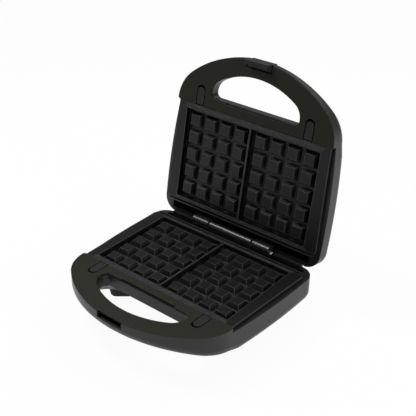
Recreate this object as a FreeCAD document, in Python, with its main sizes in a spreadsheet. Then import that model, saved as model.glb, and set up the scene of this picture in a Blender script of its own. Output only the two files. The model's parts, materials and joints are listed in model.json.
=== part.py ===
import FreeCAD, Part
import Sketcher
import math
import os

# Waffle maker, standing open. Both halves are drawn in a half's own frame: the hinge axis is X,
# the handle is towards -Y, the half lies below z = 0 and its plate looks up.

SIZES = {
    # Stance and hinge
    "hinge_height": 60.5,
    "hinge_setback": 85.15,
    "open_angle": 100.4,
    "pin_diameter": 4.0,
    "pin_clearance": 0.05,
    "knuckle_radius": 5.0,
    "knuckle_offset": -4.5,
    "middle_knuckle": 67.0,
    "end_knuckle": 25.5,
    "knuckle_gap": 2.7,
    "knuckle_web": 5.0,
    # Casing outline seen from above
    "front_half": 118.0,
    "front_reach": 228.0,
    "shoulder_reach": 153.0,
    "shoulder_radius": 50.0,
    "side_radius": 900.0,
    "side_swell": 6.0,
    "back_reach": 4.5,
    "back_radius": 20.0,
    # Casing section
    "lower_depth": 42.0,
    "upper_depth": 32.0,
    "lower_handle_depth": 18.5,
    "upper_handle_depth": 16.0,
    "lower_edge_radius": 15.0,
    "upper_edge_radius": 13.0,
    "belly_setback": 15.0,
    "slope_overrun": 6.0,
    "wall": 2.5,
    "floor": 3.75,
    "rear_wall": 5.0,
    "side_wall": 8.0,
    "parting_gap": 1.0,
    "side_rim_drop": 6.5,
    "rear_rim_drop": 8.0,
    "rear_lip_drop": 3.0,
    "rear_web_drop": 1.6,
    "rear_web_gap": 2.4,
    "rear_web_thickness": 2.0,
    # Hand hole
    "handle_side_width": 51.5,
    "hole_setback": 12.0,
    "handle_width": 23.0,
    "hole_radius": 20.0,
    "hole_corner": 7.0,
    "lower_hole_round": 24.0,
    "upper_hole_round": 16.0,
    "hollow_step": 2.0,
    "hole_flare": 45.0,
    # Bezel
    "bezel_inset": 1.4,
    "bezel_thickness": 3.0,
    "bezel_clearance": 0.2,
    "bezel_hole_margin": 0.4,
    "bezel_notch_half": 42.0,
    "bezel_notch": 2.5,
    "bezel_plate_gap": 0.6,
    "seat_width": 2.2,
    # Waffle plate
    "plate_front_margin": 3.0,
    "plate_back_margin": 4.5,
    "plate_setback": 2.0,
    "plate_back": 17.0,
    "plate_corner": 5.0,
    "plate_rim": 1.8,
    "plate_thickness": 12.2,
    "side_flange": 12.8,
    "front_flange": 7.5,
    "back_flange": 4.5,
    "field_depth": 7.6,
    "divider_width": 2.2,
    "peg_top": 13.3,
    "peg_height": 6.2,
    "peg_draft": 29.0,
    "peg_pitch_x": 24.0,
    "peg_pitch_y": 23.35,
    "peg_centre_gap": 31.2,
    "groove_width": 0.9,
    "groove_depth": 0.8,
    # Plate-release clips
    "clip_inset": 36.0,
    "clip_width": 10.6,
    "clip_gap": 1.3,
    "clip_length": 25.0,
    "clip_travel": 2.5,
    "clip_sink": 0.3,
    "clip_foot_wider": 2.0,
    "clip_foot_thickness": 2.0,
    "clip_lip_reach": 1.5,
    "clip_lip_half": 4.0,
    "clip_lip_thickness": 1.4,
    "clip_lip_root": 1.0,
    "rail_width": 1.6,
    "rail_length": 14.0,
    "rail_setback": 4.0,
    # Latch
    "latch_half": 17.5,
    "latch_gap": 1.5,
    "latch_swing_room": 2.4,
    "latch_pin_inset": 7.0,
    "latch_pin_depth": 8.0,
    "latch_pin_diameter": 3.0,
    "latch_barrel_radius": 2.94,
    "latch_web_rise": 2.8,
    "latch_plate_inset": 1.2,
    "latch_plate_thickness": 2.8,
    "latch_inset": 10.4,
    "latch_tail": 13.0,
    "latch_hook_drop": 7.0,
    "latch_nose": 2.4,
    "latch_nose_height": 2.2,
    # Heating
    "heater_diameter": 6.5,
    "heater_inset": 31.0,
    "heater_half_depth": 40.0,
    "heater_clearance": 0.3,
    "heater_turn": 14.0,
    "tray_inset": 11.0,
    "tray_half_depth": 54.0,
    "tray_depth": 9.0,
    "tray_sheet": 0.8,
    "post_diameter": 9.0,
    "post_inset": 26.0,
    "post_y": 30.0,
    # Feet
    "foot_length": 30.0,
    "foot_width": 15.0,
    "foot_flare": 10.0,
    "foot_round": 3.0,
    "foot_inset": 38.5,
    "front_foot_setback": 26.5,
    "rear_foot_y": 25.0,
    "foot_turn": 40.0,
    # Controls and wiring in the lower half
    "thermostat_diameter": 17.0,
    "thermostat_height": 9.0,
    "thermostat_x": 30.0,
    "fuse_diameter": 4.0,
    "fuse_length": 18.0,
    "fuse_x": -40.0,
    "block_length": 32.0,
    "block_width": 13.0,
    "block_height": 9.0,
    "block_x": 40.0,
    "block_y": 22.0,
    "wire_diameter": 3.0,
    "wire_bend": 9.0,
    # Screws, lenses and cord gland
    "screw_diameter": 3.0,
    "screw_hole": 3.4,
    "screw_head": 5.6,
    "screw_head_height": 2.0,
    "foot_screw_length": 12.0,
    "foot_screw_recess": 9.0,
    "tray_screw_length": 5.5,
    "lens_diameter": 8.0,
    "lens_flange": 11.0,
    "lens_rise": 1.2,
    "lens_half_spacing": 13.0,
    "lens_setback": 25.0,
    "lamp_height": 3.5,
    "gland_diameter": 13.0,
    "gland_bore": 7.0,
    "gland_flange": 18.0,
    "gland_flange_thickness": 2.5,
    "gland_inset": 32.0,
    "gland_depth": 25.0,
    "fit_clearance": 0.3,
}

doc = FreeCAD.newDocument("waffle_maker")
sheet = doc.addObject("Spreadsheet::Sheet", "Sizes")
for row, (alias, number) in enumerate(SIZES.items(), start=1):
    sheet.set(f"A{row}", str(number))
    sheet.setAlias(f"A{row}", alias)
doc.recompute()


derived = {}


class Dim:
    """A length: its present number and the sheet expression that gives it."""

    def __init__(self, number, text):
        self.number = number
        self.text = text

    def __add__(self, other):
        other = dim(other)
        return Dim(self.number + other.number, f"({self.text} + {other.text})")

    def __sub__(self, other):
        other = dim(other)
        return Dim(self.number - other.number, f"({self.text} - {other.text})")

    def __mul__(self, other):
        other = dim(other)
        return Dim(self.number * other.number, f"({self.text} * {other.text})")

    def __truediv__(self, other):
        other = dim(other)
        return Dim(self.number / other.number, f"({self.text} / {other.text})")

    def __neg__(self):
        return Dim(-self.number, f"(0 - {self.text})")

    def tangent(self):
        return Dim(math.tan(math.radians(self.number)), f"tan({self.text} * 1 deg)")


def dim(value):
    """A sheet size by its alias, a plain number, or a Dim as it is."""
    if isinstance(value, Dim):
        return value
    if value in derived:
        return derived[value]
    if isinstance(value, str):
        return Dim(float(sheet.get(value)), f"Sizes.{value}")
    return Dim(float(value), repr(float(value)))


def bind(item, **sizes):
    """Tie an object's properties to sheet expressions."""
    for name, value in sizes.items():
        item.setExpression(name, dim(value).text)


def vector(x, y, z):
    return FreeCAD.Vector(dim(x).number, dim(y).number, dim(z).number)


# Lengths that follow the casing: each is one driving size and a margin from it
derived["back_half"] = dim("front_half") + "side_swell"
derived["belly_reach"] = dim("shoulder_reach") - "belly_setback"
derived["handle_reach"] = dim("front_reach") + "slope_overrun"
derived["hole_half"] = dim("front_half") - "handle_side_width"
derived["hole_back"] = dim("shoulder_reach") + "hole_setback"
derived["hole_front"] = dim("front_reach") - "handle_width"
derived["plate_front_half"] = dim("front_half") - "plate_front_margin"
derived["plate_back_half"] = dim("back_half") - "plate_back_margin"
derived["plate_front"] = dim("shoulder_reach") - "plate_setback"
derived["field_half"] = dim("plate_front_half") - "side_flange"
derived["field_front"] = dim("plate_front") - "front_flange"
derived["field_back"] = dim("plate_back") + "back_flange"
derived["clip_place"] = dim("front_half") - "clip_inset"
derived["clip_tip"] = dim("shoulder_reach") + "clip_length"
derived["rail_start"] = dim("shoulder_reach") + "rail_setback"
derived["latch_pin_reach"] = dim("front_reach") - "latch_pin_inset"
derived["latch_plate_front"] = dim("front_reach") - "latch_plate_inset"
derived["latch_back"] = dim("front_reach") - "latch_inset"
derived["heater_half"] = dim("plate_front_half") - "heater_inset"
derived["tray_half"] = dim("plate_front_half") - "tray_inset"
derived["post_x"] = dim("tray_half") - "post_inset"
derived["foot_x"] = dim("front_half") - "foot_inset"
derived["front_foot_y"] = dim("shoulder_reach") - "front_foot_setback"
derived["lens_reach"] = dim("shoulder_reach") - "lens_setback"
derived["gland_x"] = dim("front_half") - "gland_inset"

# Names used all over the model
drawing_tolerance = 0.01
parting_gap = dim("parting_gap")
wall = dim("wall")
shoulder_reach = dim("shoulder_reach")
bezel_under = parting_gap + "bezel_thickness"
plate_under = dim("plate_rim") + "plate_thickness"
clip_width = dim("clip_width")
fit_clearance = dim("fit_clearance")


# Placement of each half
def lower_place():
    return FreeCAD.Placement(vector(0, "hinge_setback", "hinge_height"), FreeCAD.Rotation())


def upper_place():
    tilt = FreeCAD.Rotation(FreeCAD.Vector(1, 0, 0), -dim("open_angle").number)
    flip = FreeCAD.Rotation(FreeCAD.Vector(0, 1, 0), 180)
    return FreeCAD.Placement(vector(0, "hinge_setback", "hinge_height"), tilt * flip)


# Sketch and feature helpers
def new_body(label):
    body = doc.addObject("PartDesign::Body", label)
    body.Label = label
    return body


def sketch_on(body, name, plane, offset=0):
    """An empty sketch on one of the body's own planes, moved along that plane's normal."""
    sketch = body.newObject("Sketcher::SketchObject", f"{body.Label}_{name}")
    base = [item for item in body.Origin.OriginFeatures if item.Role == plane][0]
    sketch.AttachmentSupport = (base, [""])
    sketch.MapMode = "FlatFace"
    sketch.setExpression("AttachmentOffset.Base.z", dim(offset).text)
    return sketch


def hold(sketch, geometry, end, x, y):
    """Hold one end of an edge at x, y from the sketch's origin."""
    for kind, value in (("DistanceX", x), ("DistanceY", y)):
        index = sketch.addConstraint(Sketcher.Constraint(kind, -1, 1, geometry, end, value.number))
        sketch.setExpression(f"Constraints[{index}]", value.text)


def loop(sketch, corners, closed=True):
    """An outline of (x, y, radius) corners in order. The radius belongs to the edge that
    leaves the corner: None is a straight line, positive turns left, negative turns right."""
    corners = [(dim(x), dim(y), None if radius is None else dim(radius)) for x, y, radius in corners]
    ends = []
    edges = corners if closed else corners[:-1]
    for index, (x, y, radius) in enumerate(edges):
        next_x, next_y, _ = corners[(index + 1) % len(corners)]
        start = FreeCAD.Vector(x.number, y.number, 0)
        finish = FreeCAD.Vector(next_x.number, next_y.number, 0)
        if radius is None:
            geometry = sketch.addGeometry(Part.LineSegment(start, finish))
            ends.append((geometry, 1, 2))
            continue
        left = radius.number > 0
        size = abs(radius.number)
        chord = finish - start
        middle = (start + finish) * 0.5
        height = math.sqrt(max(size ** 2 - (chord.Length / 2) ** 2, 0))
        side = FreeCAD.Vector(-chord.y, chord.x, 0).normalize() * (height if left else -height)
        centre = middle + side
        first, last = (start, finish) if left else (finish, start)
        begin = math.atan2(first.y - centre.y, first.x - centre.x)
        stop = math.atan2(last.y - centre.y, last.x - centre.x)
        circle = Part.Circle(centre, FreeCAD.Vector(0, 0, 1), size)
        geometry = sketch.addGeometry(Part.ArcOfCircle(circle, begin, stop))
        ends.append((geometry, 1, 2) if left else (geometry, 2, 1))
        value = radius if left else -radius
        number = sketch.addConstraint(Sketcher.Constraint("Radius", geometry, size))
        sketch.setExpression(f"Constraints[{number}]", value.text)
    for index, (geometry, start, finish) in enumerate(ends):
        hold(sketch, geometry, start, *corners[index][:2])
        if closed or index + 1 < len(ends):
            following, next_start, _ = ends[(index + 1) % len(ends)]
            sketch.addConstraint(
                Sketcher.Constraint("Coincident", geometry, finish, following, next_start))
        else:
            hold(sketch, geometry, finish, *corners[-1][:2])


def rectangle(sketch, left, right, front, back):
    loop(sketch, [(left, front, None), (right, front, None), (right, back, None), (left, back, None)])


def circle(sketch, x, y, diameter):
    x, y, radius = dim(x), dim(y), dim(diameter) / 2
    shape = Part.Circle(vector(x, y, 0), FreeCAD.Vector(0, 0, 1), radius.number)
    geometry = sketch.addGeometry(shape)
    hold(sketch, geometry, 3, x, y)
    index = sketch.addConstraint(Sketcher.Constraint("Radius", geometry, radius.number))
    sketch.setExpression(f"Constraints[{index}]", radius.text)


def feature(body, kind, sketch, length, reverse=False, symmetric=False, taper=None):
    """Add a Pad or cut a Pocket of a sketch."""
    item = body.newObject(f"PartDesign::{kind}", f"{sketch.Name}_{kind}")
    item.Profile = sketch
    item.Reversed = reverse
    if symmetric:
        item.SideType = "Symmetric"
    bind(item, Length=length)
    if taper is not None:
        bind(item, TaperAngle=taper)
    return item


def cut_down(body, name, top, bottom, draw):
    """Cut from depth top to depth bottom below the parting plane."""
    sketch = sketch_on(body, name, "XY_Plane", -dim(top))
    draw(sketch)
    return feature(body, "Pocket", sketch, dim(bottom) - top)


def add_down(body, name, top, bottom, draw):
    """Add material from depth top to depth bottom below the parting plane."""
    sketch = sketch_on(body, name, "XY_Plane", -dim(top))
    draw(sketch)
    return feature(body, "Pad", sketch, dim(bottom) - top, reverse=True)


def round_edges(body, name, radius, chosen):
    """Fillet the edges of the body's present shape that the test picks."""
    doc.recompute()
    base = body.Tip
    names = []
    for index, edge in enumerate(base.Shape.Edges, start=1):
        if chosen(base.Shape, edge):
            names.append(f"Edge{index}")
    fillet = body.newObject("PartDesign::Fillet", f"{body.Label}_{name}")
    fillet.Base = (base, names)
    bind(fillet, Radius=radius)
    return fillet


# Outlines of both halves
def arch_points(half, base, front, radius, inset):
    """Right-hand points of a three-centred arch, moved inwards by inset."""
    half, base, front, radius, inset = (dim(value) for value in (half, base, front, radius, inset))
    rise = front - base
    crown = (half * half + rise * rise - half * radius * 2) / ((rise - radius) * 2)
    run = (half - radius) / (crown - radius)
    fall = (rise - crown) / (crown - radius)
    joint_x = run * (crown - inset)
    joint_y = (crown - front) + fall * (crown - inset)
    return joint_x, joint_y, half - inset, -base, crown - inset, radius - inset


def arch_loop(sketch, half, base, front, radius, inset, closing):
    """An arch closed by a straight line at y = -closing."""
    joint_x, joint_y, side, side_y, crown, corner = arch_points(half, base, front, radius, inset)
    closing = -dim(closing)
    loop(sketch, [
        (-joint_x, joint_y, crown), (joint_x, joint_y, corner), (side, side_y, None),
        (side, closing, None), (-side, closing, None), (-side, side_y, corner)])


def handle_loop(sketch, inset, closing):
    arch_loop(sketch, "front_half", "shoulder_reach", "front_reach", "shoulder_radius", inset, closing)


def hand_hole_loop(sketch, outset):
    """The D-shaped hand hole, moved outwards by outset."""
    outset = dim(outset)
    flat = dim("hole_back") - outset
    corner = dim("hole_corner") + outset
    shoulder = dim("hole_back") + "hole_corner"
    joint_x, joint_y, side, side_y, crown, radius = arch_points(
        "hole_half", shoulder, "hole_front", "hole_radius", -outset)
    inner = dim("hole_half") - "hole_corner"
    loop(sketch, [
        (-joint_x, joint_y, crown), (joint_x, joint_y, radius), (side, side_y, corner),
        (inner, -flat, None), (-inner, -flat, corner), (-side, side_y, radius)])


def casing_loop(sketch):
    joint_x, joint_y, side, side_y, crown, corner = arch_points(
        "front_half", "shoulder_reach", "front_reach", "shoulder_radius", 0)
    back = dim("back_reach")
    turn = dim("back_radius")
    back_half = dim("back_half")
    loop(sketch, [
        (-joint_x, joint_y, crown), (joint_x, joint_y, corner), (side, side_y, "side_radius"),
        (back_half, back - turn, turn), (back_half - turn, back, None),
        (turn - back_half, back, turn), (-back_half, back - turn, "side_radius"),
        (-side, side_y, corner)])


def plate_outline(sketch, outset):
    """The waffle plate seen from above, moved outwards by outset."""
    outset = dim(outset)
    front, back = -outset - "plate_front", outset - "plate_back"
    front_half, back_half = outset + "plate_front_half", outset + "plate_back_half"
    corner = outset + "plate_corner"
    loop(sketch, [
        (-front_half, front, None), (front_half, front, None), (back_half, back - corner, corner),
        (back_half - corner, back, None), (corner - back_half, back, corner),
        (-back_half, back - corner, None)])


def post_circles(sketch, diameter):
    """A circle at each of the four posts that carry the reflector tray."""
    centre = (dim("plate_front") + "plate_back") / 2
    for side in (-1, 1):
        for end in (-1, 1):
            circle(sketch, dim("post_x") * side, dim("post_y") * end - centre, diameter)


# Casing: a hollow moulded shell with a loop handle, a seat for the bezel and posts for the tray
def make_casing(label, depth, handle_depth, edge_radius, hole_round, knuckles):
    body = new_body(label)
    depth, handle_depth = dim(depth), dim(handle_depth)
    add_down(body, "outline", parting_gap, depth, casing_loop)

    slope = sketch_on(body, "underside", "YZ_Plane")
    outside = dim("front_reach") + "front_half"
    below = depth + wall
    loop(slope, [
        (-outside, -handle_depth, None), (-outside, -below, None), (-dim("belly_reach"), -below, None),
        (-dim("belly_reach"), -depth, None), (-dim("handle_reach"), -handle_depth, None)])
    feature(body, "Pocket", slope, dim("back_half") * 4, symmetric=True)

    def outer_bottom(shape, edge):
        faces = shape.ancestorsOfType(edge, Part.Face)
        tilts = [face.normalAt(*face.Surface.parameter(edge.CenterOfMass)).z for face in faces]
        return len(tilts) == 2 and min(tilts) < -0.5 and max(tilts) > -0.2
    round_edges(body, "edge_round", edge_radius, outer_bottom)

    far = dim("back_half") * 2
    cut_down(body, "side_rim", parting_gap, "side_rim_drop",
             lambda sketch: rectangle(sketch, -far, far, -shoulder_reach, far))
    inner_back = dim("back_half") - "back_radius"
    cut_down(body, "rear_rim", "side_rim_drop", "rear_rim_drop",
             lambda sketch: rectangle(sketch, -inner_back, inner_back, -dim("plate_back"), far))

    cut_down(body, "hand_hole", parting_gap, depth, lambda sketch: hand_hole_loop(sketch, 0))

    flare = cut_down(body, "hole_flare", handle_depth, below, lambda sketch: hand_hole_loop(sketch, 0))
    bind(flare, TaperAngle="hole_flare")
    curve = sketch_on(body, "hole_round", "YZ_Plane")
    round_size = dim(hole_round)
    hole_back = dim("hole_back")
    loop(curve, [
        (-hole_back, round_size - depth, round_size), (round_size - hole_back, -depth, None),
        (round_size - hole_back, -below, None), (-hole_back - "hole_corner", -below, None),
        (-hole_back - "hole_corner", round_size - depth, None)])
    feature(body, "Pocket", curve, dim("hole_half") * 2, symmetric=True)
    cut_down(body, "bezel_seat", parting_gap, bezel_under, lambda sketch: handle_loop(
        sketch, dim("bezel_inset") - "bezel_clearance", shoulder_reach - wall))

    def handle_hollow(sketch):
        handle_loop(sketch, dim("bezel_inset") + "seat_width", shoulder_reach - wall)
        hand_hole_loop(sketch, wall)
    cut_down(body, "handle_hollow", bezel_under, handle_depth - wall, handle_hollow)

    hollow = sketch_on(body, "belly", "YZ_Plane")
    front = shoulder_reach - wall
    back = dim("back_reach") - "rear_wall"
    floor = dim("floor") - depth
    loop(hollow, [
        (-front, 0, None), (-front, -plate_under - "hollow_step", None), (-dim("belly_reach"), floor, None),
        (back, floor, None), (back, 0, None)])
    feature(body, "Pocket", hollow, (dim("front_half") - "side_wall") * 2, symmetric=True)
    cut_down(body, "plate_seat", "side_rim_drop", plate_under,
             lambda sketch: plate_outline(sketch, fit_clearance))

    post_top = plate_under + "tray_depth"
    add_down(body, "posts", post_top, depth - wall, lambda sketch: post_circles(sketch, "post_diameter"))
    cut_down(body, "post_holes", post_top, post_top + "tray_screw_length",
             lambda sketch: post_circles(sketch, "screw_hole"))

    web_front = -dim("plate_back") + "rear_web_gap"
    web_half = dim("front_half") - wall
    add_down(body, "rear_web", "rear_web_drop", depth - wall, lambda sketch: rectangle(
        sketch, -web_half, web_half, web_front, web_front + "rear_web_thickness"))

    for index, (start, length) in enumerate(knuckles):
        web = sketch_on(body, f"knuckle_{index}", "YZ_Plane", start)
        radius = dim("knuckle_radius")
        reach = dim("rear_rim_drop") + "knuckle_web"
        loop(web, [
            (-radius, 0, None), (-radius, -reach, None), (dim("back_reach"), -reach, None),
            (radius, 0, radius), (0, radius, radius)])
        feature(body, "Pad", web, length)
    bore = sketch_on(body, "pin_bore", "YZ_Plane")
    circle(bore, 0, 0, dim("pin_diameter") + dim("pin_clearance") * 2)
    feature(body, "Pocket", bore, dim("back_half") * 2, symmetric=True)
    return body


parts = []


def finish(item, label, placement):
    item.Label = label
    item.Placement = placement
    parts.append(item)
    return item


# Hinge: one long knuckle below, two short ones above, all on one pin
middle_start = dim("knuckle_offset") - dim("middle_knuckle") / 2
middle_end = dim("knuckle_offset") + dim("middle_knuckle") / 2
left_start = middle_start - "knuckle_gap" - "end_knuckle"
right_start = middle_end + "knuckle_gap"
right_end = right_start + "end_knuckle"

lower_casing = make_casing(
    "lower_casing", "lower_depth", "lower_handle_depth", "lower_edge_radius", "lower_hole_round",
    [(middle_start, "middle_knuckle")])
upper_casing = make_casing(
    "upper_casing", "upper_depth", "upper_handle_depth", "upper_edge_radius", "upper_hole_round",
    [(-right_end, "end_knuckle"), (-left_start - "end_knuckle", "end_knuckle")])



def rear_lips(sketch):
    """The raised rear rim of the lower casing, either side of the knuckles."""
    end = dim("back_half") - "back_radius"
    back = dim("back_reach")
    front = back - "rear_wall"
    rectangle(sketch, -end, left_start - "knuckle_gap", front, back)
    rectangle(sketch, right_end + "knuckle_gap", end, front, back)


add_down(lower_casing, "rear_lips", "rear_lip_drop", "rear_rim_drop", rear_lips)

hinge_pin = doc.addObject("Part::Cylinder", "hinge_pin")
bind(hinge_pin, Radius=dim("pin_diameter") / 2, Height=right_end - left_start)
finish(hinge_pin, "hinge_pin", FreeCAD.Placement(
    vector(left_start, "hinge_setback", "hinge_height"),
    FreeCAD.Rotation(FreeCAD.Vector(0, 1, 0), 90)))

# Latch notch in the upper handle, and the catch recess in the lower one
latch_slot = dim("latch_half") + "latch_gap"
notch_back = dim("latch_back") - "latch_gap"
beyond = dim("front_reach") + "front_half"
latch_inner = dim("latch_plate_front") - "latch_plate_thickness"
catch_back = latch_inner - fit_clearance * 2
cut_down(upper_casing, "latch_notch", parting_gap, dim("latch_tail") + "latch_swing_room",
         lambda sketch: rectangle(sketch, -latch_slot, latch_slot, -beyond, -notch_back))
cut_down(lower_casing, "catch", parting_gap, dim("latch_hook_drop") + "latch_gap",
         lambda sketch: rectangle(sketch, -latch_slot, latch_slot, -beyond, -catch_back))
nose_back = latch_inner - "latch_nose" - "latch_gap"
cut_down(lower_casing, "nose_room", bezel_under, dim("latch_hook_drop") + "latch_gap",
         lambda sketch: rectangle(sketch, -latch_slot, latch_slot, -beyond, -nose_back))
latch_axis = sketch_on(upper_casing, "latch_bore", "YZ_Plane")
circle(latch_axis, -dim("latch_pin_reach"), -dim("latch_pin_depth"),
       dim("latch_pin_diameter") + dim("pin_clearance") * 2)
latch_pin_half = latch_slot + wall
feature(upper_casing, "Pocket", latch_axis, latch_pin_half * 2, symmetric=True)


# Holes for feet, lenses and cord gland
def foot_places():
    return [(side * dim("foot_x"), -dim(reach), side * turn, f"{end}_{name}_foot")
            for end, reach, turn in (("front", "front_foot_y", 1), ("rear", "rear_foot_y", -1))
            for side, name in ((dim(-1), "left"), (dim(1), "right"))]


def foot_holes(sketch):
    for x, y, _, _ in foot_places():
        circle(sketch, x, y, "screw_hole")


def lens_holes(sketch):
    for side in (-1, 1):
        middle = dim("lens_half_spacing") * side
        circle(sketch, middle, -dim("lens_reach"), dim("lens_diameter") + fit_clearance)


lower_floor = dim("lower_depth") - "floor"
upper_floor = dim("upper_depth") - "floor"
cut_down(lower_casing, "foot_holes", lower_floor, "lower_depth", foot_holes)
cut_down(upper_casing, "lens_holes", upper_floor, "upper_depth", lens_holes)
gland_hole = sketch_on(lower_casing, "gland_hole", "XZ_Plane")
circle(gland_hole, "gland_x", -dim("gland_depth"), dim("gland_diameter") + fit_clearance)
feature(lower_casing, "Pocket", gland_hole, dim("rear_wall") * 4, symmetric=True)
finish(lower_casing, "lower_casing", lower_place())
finish(upper_casing, "upper_casing", upper_place())


# Bezel: the flat handle panel, with the slots and channels that the clips slide in
def clip_slot(sketch, side):
    half = clip_width / 2 + "clip_gap"
    middle = dim("clip_place") * side
    round_start = half - dim("clip_tip")
    back = dim("bezel_plate_gap") - "plate_front"
    loop(sketch, [
        (middle - half, round_start, half), (middle, round_start - half, half),
        (middle + half, round_start, None), (middle + half, back, None), (middle - half, back, None)])


foot_half = clip_width / 2 + "clip_gap" + "clip_foot_wider"
foot_top = bezel_under + "clip_sink"
foot_under = foot_top + "clip_foot_thickness"


def rails(sketch):
    inner = foot_half + fit_clearance
    outer = inner + "rail_width"
    front = -dim("rail_start") - "rail_length"
    for side in (-1, 1):
        middle = dim("clip_place") * side
        rectangle(sketch, middle - outer, middle - inner, front, -dim("rail_start"))
        rectangle(sketch, middle + inner, middle + outer, front, -dim("rail_start"))


def rail_floor(sketch):
    outer = foot_half + fit_clearance + "rail_width"
    front = -dim("rail_start") - "rail_length"
    for side in (-1, 1):
        middle = dim("clip_place") * side
        rectangle(sketch, middle - outer, middle + outer, front, -dim("rail_start"))


def make_bezel(label, notch_depth, place):
    body = new_body(label)
    add_down(body, "panel", parting_gap, bezel_under, lambda sketch: handle_loop(
        sketch, "bezel_inset", dim("plate_front") + "bezel_plate_gap"))
    cut_down(body, "hand_hole", parting_gap, bezel_under,
             lambda sketch: hand_hole_loop(sketch, "bezel_hole_margin"))
    notch = dim("bezel_notch_half")
    flat = dim("hole_back")
    cut_down(body, "edge_notch", parting_gap, bezel_under, lambda sketch: rectangle(
        sketch, -notch, notch, -flat - "bezel_notch", dim("bezel_notch") - flat))
    for side in (-1, 1):
        cut_down(body, f"clip_slot_{side + 1}", parting_gap, bezel_under,
                 lambda sketch: clip_slot(sketch, side))
    cut_down(body, "latch_notch", parting_gap, bezel_under, lambda sketch: rectangle(
        sketch, -latch_slot, latch_slot, -beyond, -notch_depth))
    floor_top = foot_under + fit_clearance
    add_down(body, "rails", bezel_under, floor_top, rails)
    add_down(body, "rail_floor", floor_top, floor_top + "rail_width", rail_floor)
    return finish(body, label, place)


make_bezel("lower_bezel", catch_back, lower_place())
make_bezel("upper_bezel", notch_back, upper_place())


# Waffle plate: cast aluminium, two fields of pegs parted by a rib
def make_plate(label, place):
    body = new_body(label)
    rim = dim("plate_rim")
    field_front, field_back = -dim("field_front"), -dim("field_back")
    field_half = dim("field_half")
    floor = rim + "field_depth"
    add_down(body, "block", rim, plate_under, lambda sketch: plate_outline(sketch, 0))
    cut_down(body, "field", rim, floor,
             lambda sketch: rectangle(sketch, -field_half, field_half, field_front, field_back))

    peg = sketch_on(body, "peg", "XY_Plane", -floor)
    base = dim("peg_top") / 2 + dim("peg_height") * dim("peg_draft").tangent()
    column = dim("peg_centre_gap") / 2
    row = (field_front + field_back) / 2 - dim("peg_pitch_y") * 2
    rectangle(peg, column - base, column + base, row - base, row + base)
    pad = feature(body, "Pad", peg, "peg_height", taper=-dim("peg_draft"))
    across = doc.addObject("PartDesign::LinearPattern", f"{label}_across")
    across.Direction = (peg, ["H_Axis"])
    across.Occurrences = 4
    bind(across, Length=dim("peg_pitch_x") * 3)
    along = doc.addObject("PartDesign::LinearPattern", f"{label}_along")
    along.Direction = (peg, ["V_Axis"])
    along.Occurrences = 5
    bind(along, Length=dim("peg_pitch_y") * 4)
    twin = doc.addObject("PartDesign::Mirrored", f"{label}_twin")
    twin.MirrorPlane = (peg, ["V_Axis"])
    pegs = body.newObject("PartDesign::MultiTransform", f"{label}_pegs")
    pegs.Originals = [pad]
    for step in (across, along, twin):
        body.addObject(step)
    pegs.Transformations = [across, along, twin]
    body.Tip = pegs

    divider = dim("divider_width") / 2
    add_down(body, "divider", rim, floor,
             lambda sketch: rectangle(sketch, -divider, divider, field_front, field_back))

    def grooves(sketch):
        front_step = (dim("plate_front") - "field_front") / 3
        reach = field_half + front_step
        back_middle = (dim("plate_back") + "field_back") / 2
        half = dim("groove_width") / 2
        for line in (front_step + "field_front", front_step * 2 + "field_front", back_middle):
            rectangle(sketch, -reach, reach, -line - half, half - line)
    cut_down(body, "grooves", rim, rim + "groove_depth", grooves)

    def catches(sketch):
        half = dim("clip_lip_half") + fit_clearance
        front = -dim("plate_front")
        back = front + "clip_lip_reach" + fit_clearance
        for side in (-1, 1):
            middle = dim("clip_place") * side
            rectangle(sketch, middle - half, middle + half, front - "clip_lip_root", back)
    lip_under = foot_top + fit_clearance + "clip_lip_thickness"
    cut_down(body, "catches", foot_top, lip_under + fit_clearance, catches)
    return finish(body, label, place)


make_plate("lower_plate", lower_place())
make_plate("upper_plate", upper_place())


# Plate-release clips: each slides away from the plate to free its front edge
def make_clip(label, side, place):
    body = new_body(label)
    middle = dim("clip_place") * side
    half = clip_width / 2
    tip = dim("clip_tip") - "clip_travel" - fit_clearance
    back = dim("bezel_plate_gap") - "plate_front" - "clip_travel"

    def tongue(sketch):
        loop(sketch, [
            (middle - half, half - tip, half), (middle, -tip, half), (middle + half, half - tip, None),
            (middle + half, back, None), (middle - half, back, None)])
    add_down(body, "tongue", parting_gap + "clip_sink", foot_top, tongue)
    add_down(body, "foot", foot_top, foot_under, lambda sketch: rectangle(
        sketch, middle - foot_half, middle + foot_half, half - tip, back))
    lip_half = dim("clip_lip_half")
    lip_top = foot_top + fit_clearance
    lip_end = dim("clip_lip_reach") - "plate_front"
    add_down(body, "lip", lip_top, lip_top + "clip_lip_thickness", lambda sketch: rectangle(
        sketch, middle - lip_half, middle + lip_half, back - "clip_lip_root", lip_end))
    return finish(body, label, place)


for name, side in (("left", -1), ("right", 1)):
    make_clip(f"lower_{name}_clip", side, lower_place())
    make_clip(f"upper_{name}_clip", -side, upper_place())


# Latch: a hooked lever on a pin in the upper handle, which takes hold under the lower bezel
latch = new_body("latch")
latch_section = sketch_on(latch, "section", "YZ_Plane")
front = -dim("latch_plate_front")
inner = -latch_inner
hook = dim("latch_hook_drop")
nose_top = hook - "latch_nose_height"
web_top = -parting_gap - "clip_sink"
web_under = dim("latch_web_rise") - "latch_pin_depth"
loop(latch_section, [
    (front, -dim("latch_tail"), None), (inner, -dim("latch_tail"), None), (inner, web_under, None),
    (-dim("latch_back"), web_under, None), (-dim("latch_back"), web_top, None), (inner, web_top, None),
    (inner, nose_top, None), (inner + "latch_nose", nose_top, None), (inner + "latch_nose", hook, None),
    (front, hook, None)])
feature(latch, "Pad", latch_section, dim("latch_half") * 2, symmetric=True)
barrel = sketch_on(latch, "barrel", "YZ_Plane")
circle(barrel, -dim("latch_pin_reach"), -dim("latch_pin_depth"), dim("latch_barrel_radius") * 2)
feature(latch, "Pad", barrel, dim("latch_half") * 2, symmetric=True)
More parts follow.
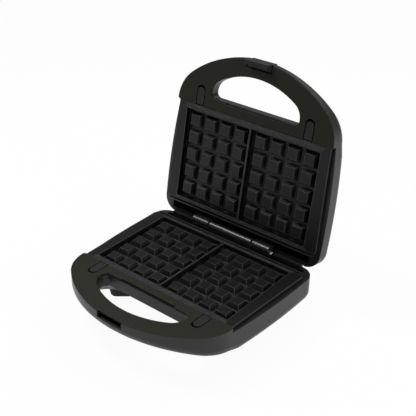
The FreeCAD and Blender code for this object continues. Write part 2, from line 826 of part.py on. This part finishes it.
bore = sketch_on(latch, "bore", "YZ_Plane")
circle(bore, -dim("latch_pin_reach"), -dim("latch_pin_depth"),
       dim("latch_pin_diameter") + dim("pin_clearance") * 2)
feature(latch, "Pocket", bore, dim("latch_half") * 4, symmetric=True)
finish(latch, "latch", upper_place())

latch_pin = doc.addObject("Part::Cylinder", "latch_pin")
bind(latch_pin, Radius=dim("latch_pin_diameter") / 2, Height=latch_pin_half * 2 - fit_clearance * 2)
pin_turn = FreeCAD.Rotation(FreeCAD.Vector(0, 1, 0), 90)
pin_start = vector(fit_clearance - latch_pin_half, -dim("latch_pin_reach"), -dim("latch_pin_depth"))
finish(latch_pin, "latch_pin", upper_place() * FreeCAD.Placement(pin_start, pin_turn))


# Heater, clamps and reflector tray under each plate
plate_centre = (dim("plate_front") + "plate_back") / 2
tray_floor = plate_under + "tray_depth"
heater_level = plate_under + "heater_clearance" + dim("heater_diameter") / 2
heater_under = heater_level + dim("heater_diameter") / 2


def make_heater(label, place):
    body = new_body(label)
    half, depth, turn = dim("heater_half"), dim("heater_half_depth"), dim("heater_turn")
    back, front = depth - plate_centre, -depth - plate_centre
    spine = sketch_on(body, "path", "XY_Plane", -heater_level)
    loop(spine, [
        (turn, back, None), (half - turn, back, -turn), (half, back - turn, None),
        (half, front + turn, -turn), (half - turn, front, None), (turn - half, front, -turn),
        (-half, front + turn, None), (-half, back - turn, -turn), (turn - half, back, None),
        (-turn, back, None)], closed=False)
    section = sketch_on(body, "section", "YZ_Plane", turn)
    circle(section, back, -heater_level, "heater_diameter")
    pipe = body.newObject("PartDesign::AdditivePipe", f"{label}_pipe")
    pipe.Profile = section
    pipe.Spine = (spine, [f"Edge{index + 1}" for index in range(9)])
    return finish(body, label, place)


def make_tray(label, place):
    body = new_body(label)
    half, depth, skin = dim("tray_half"), dim("tray_half_depth"), dim("tray_sheet")
    add_down(body, "block", plate_under, tray_floor, lambda sketch: rectangle(
        sketch, -half, half, -depth - plate_centre, depth - plate_centre))
    cut_down(body, "hollow", plate_under, tray_floor - skin, lambda sketch: rectangle(
        sketch, skin - half, half - skin, skin - depth - plate_centre, depth - skin - plate_centre))
    cut_down(body, "screw_holes", tray_floor - skin, tray_floor,
             lambda sketch: post_circles(sketch, "screw_hole"))
    return finish(body, label, place)


def make_clamps(label, place):
    body = new_body(label)
    half, reach = dim("heater_diameter"), dim("heater_half")

    def pads(sketch):
        for side in (-1, 1):
            middle = reach * side
            rectangle(sketch, middle - half, middle + half, -half - plate_centre, half - plate_centre)
    add_down(body, "pads", heater_under, tray_floor - "tray_sheet", pads)
    return finish(body, label, place)


for name, place in (("lower", lower_place()), ("upper", upper_place())):
    make_tray(f"{name}_tray", place)
    make_heater(f"{name}_heater", place)
    make_clamps(f"{name}_heater_clamps", place)


# Screws: a round head and a shank, with the head away from what it is driven into
def screw_group(label, places, head_face, length, place, upwards):
    """Screws whose heads bear at depth head_face, gathered as one group of solids."""
    screws = []
    for index, (x, y) in enumerate(places):
        head = doc.addObject("Part::Cylinder", f"{label}_head_{index}")
        bind(head, Radius=dim("screw_head") / 2, Height="screw_head_height")
        low = -dim(head_face) - "screw_head_height" if upwards else -dim(head_face)
        head.Placement.Base = vector(x, y, low)
        shank = doc.addObject("Part::Cylinder", f"{label}_shank_{index}")
        bind(shank, Radius=dim("screw_diameter") / 2, Height=length)
        start = -dim(head_face) if upwards else -dim(head_face) - length
        shank.Placement.Base = vector(x, y, start)
        screw = doc.addObject("Part::Fuse", f"{label}_{index}")
        screw.Base, screw.Tool = head, shank
        screws.append(screw)
    group = doc.addObject("Part::Compound", label)
    group.Links = screws
    return finish(group, label, place)


tray_screw_places = [(dim("post_x") * side, dim("post_y") * end - plate_centre)
                     for side in (-1, 1) for end in (-1, 1)]
for name, place in (("lower", lower_place()), ("upper", upper_place())):
    screw_group(f"{name}_tray_screws", tray_screw_places, tray_floor - "tray_sheet",
                "tray_screw_length", place, upwards=False)


# Feet: tapered rubber feet, turned towards the middle, each on one screw from below
def make_foot(label, x, y, turn):
    body = new_body(label)
    half, end = dim("foot_width") / 2, (dim("foot_length") - "foot_width") / 2
    height = dim("hinge_height") - "lower_depth"

    def shape(sketch):
        loop(sketch, [
            (-end, -half, None), (end, -half, half), (end + half, 0, half), (end, half, None),
            (-end, half, half), (-end - half, 0, half)])
    base = sketch_on(body, "sole", "XY_Plane", -height)
    shape(base)
    feature(body, "Pad", base, height, taper="foot_flare")

    def sole_edge(solid, edge):
        box = edge.BoundBox
        return max(abs(box.ZMax + height.number), abs(box.ZMin + height.number)) < drawing_tolerance
    round_edges(body, "sole_round", "foot_round", sole_edge)
    recess = sketch_on(body, "recess", "XY_Plane", -height)
    circle(recess, 0, 0, dim("screw_head") + fit_clearance * 2)
    feature(body, "Pocket", recess, "foot_screw_recess", reverse=True)
    hole = sketch_on(body, "hole", "XY_Plane")
    circle(hole, 0, 0, "screw_hole")
    feature(body, "Pocket", hole, height)
    place = lower_place() * FreeCAD.Placement(
        vector(x, y, -dim("lower_depth")), FreeCAD.Rotation(FreeCAD.Vector(0, 0, 1), turn.number))
    return finish(body, label, place)


for x, y, side, label in foot_places():
    make_foot(label, x, y, -side * "foot_turn")
screw_group("foot_screws", [(x, y) for x, y, _, _ in foot_places()],
            dim("hinge_height") - "foot_screw_recess", "foot_screw_length", lower_place(), upwards=True)


# Controls and wiring under the lower tray
def cylinder(label, diameter, height, place):
    item = doc.addObject("Part::Cylinder", label)
    bind(item, Radius=dim(diameter) / 2, Height=height)
    return finish(item, label, place)


def at(x, y, depth, half_place, rotation=FreeCAD.Rotation()):
    return half_place * FreeCAD.Placement(vector(x, y, -dim(depth)), rotation)


sideways = FreeCAD.Rotation(FreeCAD.Vector(0, 1, 0), 90)
cylinder("thermostat", "thermostat_diameter", "thermostat_height",
         at("thermostat_x", -plate_centre, tray_floor + "thermostat_height", lower_place()))
cylinder("thermal_fuse", "fuse_diameter", "fuse_length",
         at("fuse_x", -plate_centre, tray_floor + dim("fuse_diameter") / 2, lower_place(), sideways))
block = doc.addObject("Part::Box", "terminal_block")
bind(block, Length="block_length", Width="block_width", Height="block_height")
finish(block, "terminal_block", at(
    dim("block_x") - dim("block_length") / 2, -dim("block_y") - "block_width", lower_floor, lower_place()))

loom = new_body("wiring_loom")
wire_level = lower_floor - dim("block_height") / 2
loom_path = sketch_on(loom, "path", "XY_Plane", -wire_level)
bend = dim("wire_bend")
wire_start = dim("block_x") - dim("block_length") / 2
wire_y = -dim("block_y") - dim("block_width") / 2
fuse_end = dim("fuse_x") - bend
loop(loom_path, [
    (wire_start, wire_y, None), (fuse_end + bend, wire_y, bend), (fuse_end, wire_y - bend, None),
    (fuse_end, bend - plate_centre - "thermostat_diameter", bend),
    (fuse_end + bend, -plate_centre - "thermostat_diameter", None),
    ("thermostat_x", -plate_centre - "thermostat_diameter", None)], closed=False)
loom_section = sketch_on(loom, "section", "YZ_Plane", wire_start)
circle(loom_section, wire_y, -wire_level, "wire_diameter")
loom_pipe = loom.newObject("PartDesign::AdditivePipe", "wiring_loom_pipe")
loom_pipe.Profile = loom_section
loom_pipe.Spine = (loom_path, [f"Edge{index + 1}" for index in range(5)])
finish(loom, "wiring_loom", lower_place())

# Cord gland in the rear wall
gland = new_body("cord_gland")
gland_section = sketch_on(gland, "barrel", "XZ_Plane", -dim("back_reach"))
circle(gland_section, "gland_x", -dim("gland_depth"), "gland_diameter")
feature(gland, "Pad", gland_section, dim("rear_wall") + "gland_flange_thickness")
gland_rim = sketch_on(gland, "flange", "XZ_Plane", -dim("back_reach"))
circle(gland_rim, "gland_x", -dim("gland_depth"), "gland_flange")
feature(gland, "Pad", gland_rim, "gland_flange_thickness", reverse=True)
gland_bore = sketch_on(gland, "bore", "XZ_Plane")
circle(gland_bore, "gland_x", -dim("gland_depth"), "gland_bore")
feature(gland, "Pocket", gland_bore, dim("gland_depth") * 2, symmetric=True)
finish(gland, "cord_gland", lower_place())


# Power and ready lenses in the lid's top, with a lamp behind each
def make_lens(label, side):
    body = new_body(label)
    x, y = dim("lens_half_spacing") * side, -dim("lens_reach")
    add_down(body, "window", upper_floor, dim("upper_depth") + "lens_rise",
             lambda sketch: circle(sketch, x, y, "lens_diameter"))
    add_down(body, "flange", upper_floor - "lens_rise", upper_floor,
             lambda sketch: circle(sketch, x, y, "lens_flange"))
    return finish(body, label, upper_place())


make_lens("power_lens", 1)
make_lens("ready_lens", -1)
lamp_level = upper_floor - "lens_rise"
lamps = []
for side in (-1, 1):
    lamp = doc.addObject("Part::Cylinder", f"lamp_{side + 1}")
    bind(lamp, Radius=dim("lens_diameter") / 2, Height="lamp_height")
    lamp.Placement.Base = vector(dim("lens_half_spacing") * side, -dim("lens_reach"), -lamp_level)
    lamps.append(lamp)
lamp_group = doc.addObject("Part::Compound", "lamps")
lamp_group.Links = lamps
finish(lamp_group, "lamps", upper_place())

# Every object is checked before anything is written
doc.recompute()
failed = [item.Name for item in doc.Objects if {"Invalid", "Error"} & set(item.State)]
if failed:
    raise SystemExit(f"failed objects: {failed}")
for item in parts:
    if item.Shape.isNull() or not item.Shape.isValid():
        raise SystemExit(f"bad shape: {item.Label}")
os.makedirs("parts", exist_ok=True)
for item in parts:
    item.Shape.exportStep(f"parts/{item.Label}.step")
    print(item.Label, len(item.Shape.Solids), round(item.Shape.Volume))
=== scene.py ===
import json
import math

import bpy
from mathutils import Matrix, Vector

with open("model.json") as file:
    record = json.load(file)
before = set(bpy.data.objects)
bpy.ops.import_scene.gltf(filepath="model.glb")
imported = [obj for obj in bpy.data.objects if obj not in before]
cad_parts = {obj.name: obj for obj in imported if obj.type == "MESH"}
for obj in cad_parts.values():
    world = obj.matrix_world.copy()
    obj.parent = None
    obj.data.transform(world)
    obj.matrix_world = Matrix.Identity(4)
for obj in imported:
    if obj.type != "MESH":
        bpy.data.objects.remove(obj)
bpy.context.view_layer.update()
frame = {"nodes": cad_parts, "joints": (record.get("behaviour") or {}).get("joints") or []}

# Casings: two moulded shells of satin black plastic, each with half of a loop handle. They carry
# everything else and turn on each other at the hinge. Moulding leaves their edges a little round.
nodes = frame["nodes"]
casings = ["lower_casing", "upper_casing"]
casing_edge = 0.0007


def soften(names, width):
    """Round the sharp edges of some pieces by a narrow bevel, and keep their flats flat."""
    weld_distance = 0.00001
    bevel_steps = 3
    sharp_angle = math.radians(28)
    flat_weight = 100
    for name in names:
        piece = nodes[name]
        weld = piece.modifiers.new("weld", "WELD")
        weld.merge_threshold = weld_distance
        bevel = piece.modifiers.new("edge", "BEVEL")
        bevel.width = width
        bevel.segments = bevel_steps
        bevel.limit_method = "ANGLE"
        bevel.angle_limit = sharp_angle
        bevel.use_clamp_overlap = True
        flats = piece.modifiers.new("flats", "WEIGHTED_NORMAL")
        flats.weight = flat_weight
        for face in piece.data.polygons:
            face.use_smooth = True


class Socket:
    """A shader output that takes arithmetic, which adds the nodes it needs to its tree."""

    def __init__(self, tree, output):
        self.tree = tree
        self.output = output

    def node(self, kind, settings=None, output=0, **inputs):
        """Add any node and give one of its outputs. Inputs go by name, with underscores for
        spaces, or by place as in0, in1."""
        item = self.tree.nodes.new(kind)
        for key, value in (settings or {}).items():
            setattr(item, key, value)
        for key, value in inputs.items():
            place = int(key[2:]) if key[:2] == "in" and key[2:].isdigit() else key.replace("_", " ")
            if isinstance(value, Socket):
                self.tree.links.new(value.output, item.inputs[place])
            else:
                item.inputs[place].default_value = value
        return Socket(self.tree, item.outputs[output])

    def maths(self, operation, first, second):
        return self.node("ShaderNodeMath", {"operation": operation}, in0=first, in1=second)

    def __add__(self, other):
        return self.maths("ADD", self, other)

    __radd__ = __add__

    def __mul__(self, other):
        return self.maths("MULTIPLY", self, other)

    __rmul__ = __mul__

    def __sub__(self, other):
        return self.maths("SUBTRACT", self, other)

    def __rsub__(self, other):
        return self.maths("SUBTRACT", other, self)

    def between(self, low, high):
        """How far the value lies from low to high, as a share from 0 to 1."""
        return self.node("ShaderNodeMapRange", {"clamp": True}, in0=self, in1=low, in2=high)


def grey(value):
    return (value, value, value, 1.0)


def finish_material(name, colour, wear_and_highlight_colour, roughness, grain, metallic=0.0, coat=0.0,
                    grain_scale=900.0, wear_and_highlight=0.35, specular=0.5, edge_width=0.0007):
    """One finish: fine grain, slow changes of tone and gloss, and edges painted a paler colour, partly as
    wear and partly as a painted highlight.
    """
    cloud_scale = 22.0
    smudge_scale = 70.0
    edge_samples = 6
    wear_and_highlight_start = 0.01
    wear_and_highlight_full = 0.16
    smudge_full = 0.5
    mottle = 0.18
    gloss_swing = 0.08
    gloss_drop = 0.06
    worn_gloss = 0.1
    smudge_height = 0.5
    grain_height = 0.0002
    coat_roughness = 0.25

    material = bpy.data.materials.new(name)
    material.use_nodes = True
    tree = material.node_tree
    shader = tree.nodes["Principled BSDF"]
    place = Socket(tree, shader.outputs[0]).node("ShaderNodeTexCoord", output="Object")
    slow = place.node("ShaderNodeTexNoise", Vector=place, Scale=cloud_scale, Detail=4.0, Roughness=0.55)
    fine = place.node("ShaderNodeTexNoise", Vector=place, Scale=grain_scale, Detail=3.0)
    smudge = place.node("ShaderNodeTexNoise", Vector=place, Scale=smudge_scale, Detail=6.0, Roughness=0.7)

    # An edge is where the rounded normal leans away from the face's own
    normal = place.node("ShaderNodeNewGeometry", output="Normal")
    blunt = place.node("ShaderNodeBevel", {"samples": edge_samples}, Radius=edge_width)
    facing = place.node("ShaderNodeVectorMath", {"operation": "DOT_PRODUCT"}, output=1,
                        in0=blunt, in1=normal)
    # The edge mask paints edges paler: partly wear, partly a painted highlight where light would catch
    # them.
    edge = (1.0 - facing).between(wear_and_highlight_start, wear_and_highlight_full) * smudge.between(0.0, smudge_full) * wear_and_highlight

    tone = 1.0 - mottle / 2 + slow * mottle
    tint = place.node("ShaderNodeCombineColor", in0=tone, in1=tone, in2=tone)
    base = place.node("ShaderNodeMix", {"data_type": "RGBA", "blend_type": "MULTIPLY"}, output=2,
                      in0=1.0, in6=colour, in7=tint)
    # Edges take the paler colour here, a painted highlight and wear together.
    worn_and_highlit = place.node("ShaderNodeMix", {"data_type": "RGBA"}, output=2, in0=edge, in6=base, in7=wear_and_highlight_colour)
    gloss = roughness - gloss_drop + slow * gloss_swing + smudge * gloss_swing - edge * worn_gloss
    bump = place.node("ShaderNodeBump", Strength=grain, Distance=grain_height,
                      Height=fine + smudge * smudge_height)
    tree.links.new(worn_and_highlit.output, shader.inputs["Base Color"])
    tree.links.new(gloss.output, shader.inputs["Roughness"])
    tree.links.new(bump.output, shader.inputs["Normal"])
    shader.inputs["Metallic"].default_value = metallic
    shader.inputs["Coat Weight"].default_value = coat
    shader.inputs["Coat Roughness"].default_value = coat_roughness
    shader.inputs["Specular IOR Level"].default_value = specular
    return material


def dress(names, material):
    """Give some pieces one material."""
    for name in names:
        data = nodes[name].data
        data.materials.clear()
        data.materials.append(material)


casing = finish_material("casing_plastic", colour=(0.0125, 0.0125, 0.013, 1), wear_and_highlight_colour=grey(0.09),
                         roughness=0.33, grain=0.08, coat=0.06, specular=0.42)
soften(casings, casing_edge)
dress(casings, casing)

# Handle panels: flat plastic mouldings round the hand holes, let into the casings' seats. They are
# matt with a faint olive cast.
panels = ["lower_bezel", "upper_bezel"]
panel_edge = 0.0005
panel = finish_material("panel_plastic", colour=(0.0135, 0.0130, 0.0078, 1), wear_and_highlight_colour=grey(0.07),
                        roughness=0.55, grain=0.3, specular=0.22)
soften(panels, panel_edge)
dress(panels, panel)

# Release clips and latch: small plastic slides in the panels' rails, and a hooked plastic lever on
# a pin. Their edges are painted a little pale, partly as finger wear and partly as a painted highlight.
grips = ["lower_left_clip", "lower_right_clip", "upper_left_clip", "upper_right_clip", "latch"]
grip_edge = 0.0005
clip = finish_material("clip_plastic", colour=(0.012, 0.012, 0.0115, 1), wear_and_highlight_colour=grey(0.08),
                       roughness=0.45, grain=0.25, wear_and_highlight=0.5, specular=0.3)
soften(grips, grip_edge)
dress(grips, clip)

# Waffle plates: cast aluminium with a black non-stick coating, laid in the casings' seats and held
# by the clips in front. The coating is slightly pebbled, and a pale painted highlight, partly wear, runs
# along its edges.
plates = ["lower_plate", "upper_plate"]
plate_edge = 0.0004
coating = finish_material("nonstick_plate", colour=(0.0048, 0.0048, 0.0050, 1), wear_and_highlight_colour=grey(0.11),
                          roughness=0.36, grain=0.25, grain_scale=1500.0, wear_and_highlight=1.0, specular=0.34,
                          edge_width=0.0013)
soften(plates, plate_edge)
dress(plates, coating)

# Hinge pin, latch pin and screws: the pins are blackened steel in plain bores, and the screws are
# zinc-plated steel, driven into the casings.
pins = ["hinge_pin", "latch_pin"]
screws = ["lower_tray_screws", "upper_tray_screws", "foot_screws"]
pin_edge = 0.0003
oxide = finish_material("black_pin", colour=grey(0.06), wear_and_highlight_colour=grey(0.3),
                        roughness=0.4, grain=0.15, metallic=1.0)
steel = finish_material("pin_steel", colour=grey(0.5), wear_and_highlight_colour=grey(0.7),
                        roughness=0.3, grain=0.1, metallic=1.0)
soften(pins + screws, pin_edge)
dress(screws, steel)
dress(pins, oxide)

# Heaters, clamps and trays: a steel-sheathed element behind each plate, clamped over a reflector of
# bright rolled sheet, which is screwed to posts in the casing.
heaters = ["lower_heater", "upper_heater"]
sheets = ["lower_tray", "upper_tray", "lower_heater_clamps", "upper_heater_clamps"]
sheet_edge = 0.0002
sheath = finish_material("heater_steel", colour=(0.30, 0.28, 0.25, 1), wear_and_highlight_colour=grey(0.5),
                         roughness=0.45, grain=0.3, metallic=1.0)
bright = finish_material("bright_steel", colour=grey(0.62), wear_and_highlight_colour=grey(0.8),
                         roughness=0.28, grain=0.12, metallic=1.0)
soften(sheets, sheet_edge)
dress(heaters, sheath)
dress(sheets, bright)

# Feet and cord gland: soft moulded rubber. Each foot is held by a recessed screw, and the gland sits
# in a hole in the rear wall.
rubbers = ["front_left_foot", "front_right_foot", "rear_left_foot", "rear_right_foot", "cord_gland"]
rubber_edge = 0.0005
rubber = finish_material("foot_rubber", colour=grey(0.02), wear_and_highlight_colour=grey(0.06),
                         roughness=0.62, grain=0.4, grain_scale=600.0)
soften(rubbers, rubber_edge)
dress(rubbers, rubber)

# Controls and wiring: a ceramic thermostat and fuse against the underside of the lower tray, a pale
# plastic terminal block on the casing's floor, and a sleeved wire that runs from the block.
ceramics = ["thermostat", "thermal_fuse"]
control_edge = 0.0004
ceramic = finish_material("control_ceramic", colour=(0.72, 0.69, 0.62, 1), wear_and_highlight_colour=grey(0.8),
                          roughness=0.5, grain=0.2)
block = finish_material("block_plastic", colour=(0.78, 0.78, 0.75, 1), wear_and_highlight_colour=grey(0.85),
                        roughness=0.45, grain=0.2)
sleeve = finish_material("wire_sleeve", colour=(0.55, 0.55, 0.52, 1), wear_and_highlight_colour=grey(0.7),
                         roughness=0.6, grain=0.5)
soften(ceramics + ["terminal_block"], control_edge)
dress(ceramics, ceramic)
dress(["terminal_block"], block)
dress(["wiring_loom"], sleeve)

# Lenses and lamps: tinted plastic buttons pushed into the lid's top from inside, where a flange
# stops them, with a small glass lamp behind each.
lens_edge = 0.0006
red = finish_material("red_lens", colour=(0.42, 0.012, 0.010, 1), wear_and_highlight_colour=grey(0.5),
                      roughness=0.18, grain=0.03, coat=0.5)
green = finish_material("green_lens", colour=(0.012, 0.30, 0.045, 1), wear_and_highlight_colour=grey(0.5),
                        roughness=0.18, grain=0.03, coat=0.5)
glass = finish_material("lamp_glass", colour=(0.85, 0.68, 0.5, 1), wear_and_highlight_colour=grey(0.9),
                        roughness=0.1, grain=0.02, coat=0.6)
soften(["power_lens", "ready_lens", "lamps"], lens_edge)
dress(["power_lens"], red)
dress(["ready_lens"], green)
dress(["lamps"], glass)

# Stage: a pale floor that shows white to the camera but keeps the object's shadow, under a white
# sky and three soft studio lights, from above, from the right and from behind.
floor_size = 8
floor_roughness = 0.9
paper_share = 0.95
mirror_share = 0.5
bpy.ops.mesh.primitive_plane_add(size=floor_size, location=(0, 0, 0))
floor = bpy.context.object
floor.name = "stage_floor"
floor_material = bpy.data.materials.new("stage_floor")
floor_material.use_nodes = True
tree = floor_material.node_tree
surface = tree.nodes["Principled BSDF"]
surface.inputs["Base Color"].default_value = grey(0.8)
surface.inputs["Roughness"].default_value = floor_roughness
lit = Socket(tree, surface.outputs[0])
camera_ray = lit.node("ShaderNodeLightPath", output="Is Camera Ray")
mirror_ray = lit.node("ShaderNodeLightPath", output="Is Glossy Ray")
seen = lit.maths("MAXIMUM", camera_ray, mirror_ray * mirror_share)
white = lit.node("ShaderNodeEmission", Color=grey(1.0), Strength=1.0)
paper = lit.node("ShaderNodeMixShader", in0=seen * paper_share, in1=lit, in2=white)
tree.links.new(paper.output, tree.nodes["Material Output"].inputs["Surface"])
floor.data.materials.append(floor_material)

sky_strength = 0.22
world = bpy.data.worlds.new("studio")
bpy.context.scene.world = world
world.use_nodes = True
tree = world.node_tree
background = tree.nodes["Background"]
background.inputs["Color"].default_value = grey(1.0)
background.inputs["Strength"].default_value = sky_strength
sky = Socket(tree, background.outputs[0])
backdrop = sky.node("ShaderNodeBackground", Color=grey(1.0))
camera_ray = sky.node("ShaderNodeLightPath", output="Is Camera Ray")
studio = sky.node("ShaderNodeMixShader", in0=camera_ray, in1=sky, in2=backdrop)
tree.links.new(studio.output, tree.nodes["World Output"].inputs["Surface"])


def soft_light(name, place, aim, size, power):
    """A square area light that looks at a point."""
    data = bpy.data.lights.new(name, "AREA")
    data.size = size
    data.energy = power
    light = bpy.data.objects.new(name, data)
    bpy.context.scene.collection.objects.link(light)
    light.location = place
    light.rotation_euler = (Vector(aim) - Vector(place)).to_track_quat("-Z", "Y").to_euler()


middle = (0.0, 0.02, 0.1)
soft_light("key", place=(-0.7, -0.2, 1.3), aim=middle, size=0.5, power=13)
soft_light("right_fill", place=(1.3, 0.1, 0.7), aim=middle, size=0.6, power=9)
soft_light("rear_top", place=(0.1, 1.1, 1.4), aim=middle, size=0.8, power=9)

# Camera: the photograph's view, found from the peg grid and the two plates. It is placed from the
# hinge in metres; the focal length and the centre of view are in the photograph's pixels.
photo_size = 416
focal_pixels = 843.71
centre_across = 191.88
centre_down = 207.18
sensor_width = 36
camera_from_hinge = Vector((0.55733, -0.73995, 0.57510))
azimuth = math.radians(40.33)
elevation = math.radians(29.99)
joints = {joint["name"]: joint for joint in frame["joints"]}
hinge = Vector(joints["lid_hinge"]["pos_m"])
camera_data = bpy.data.cameras.new("camera")
camera = bpy.data.objects.new("camera", camera_data)
bpy.context.scene.collection.objects.link(camera)
camera.location = hinge + camera_from_hinge
camera.rotation_euler = (math.pi / 2 - elevation, 0, azimuth)
camera_data.sensor_width = sensor_width
camera_data.lens = focal_pixels / photo_size * sensor_width
camera_data.shift_x = (photo_size / 2 - centre_across) / photo_size
camera_data.shift_y = (centre_down - photo_size / 2) / photo_size
bpy.context.scene.camera = camera
bpy.context.scene.view_settings.view_transform = "Standard"
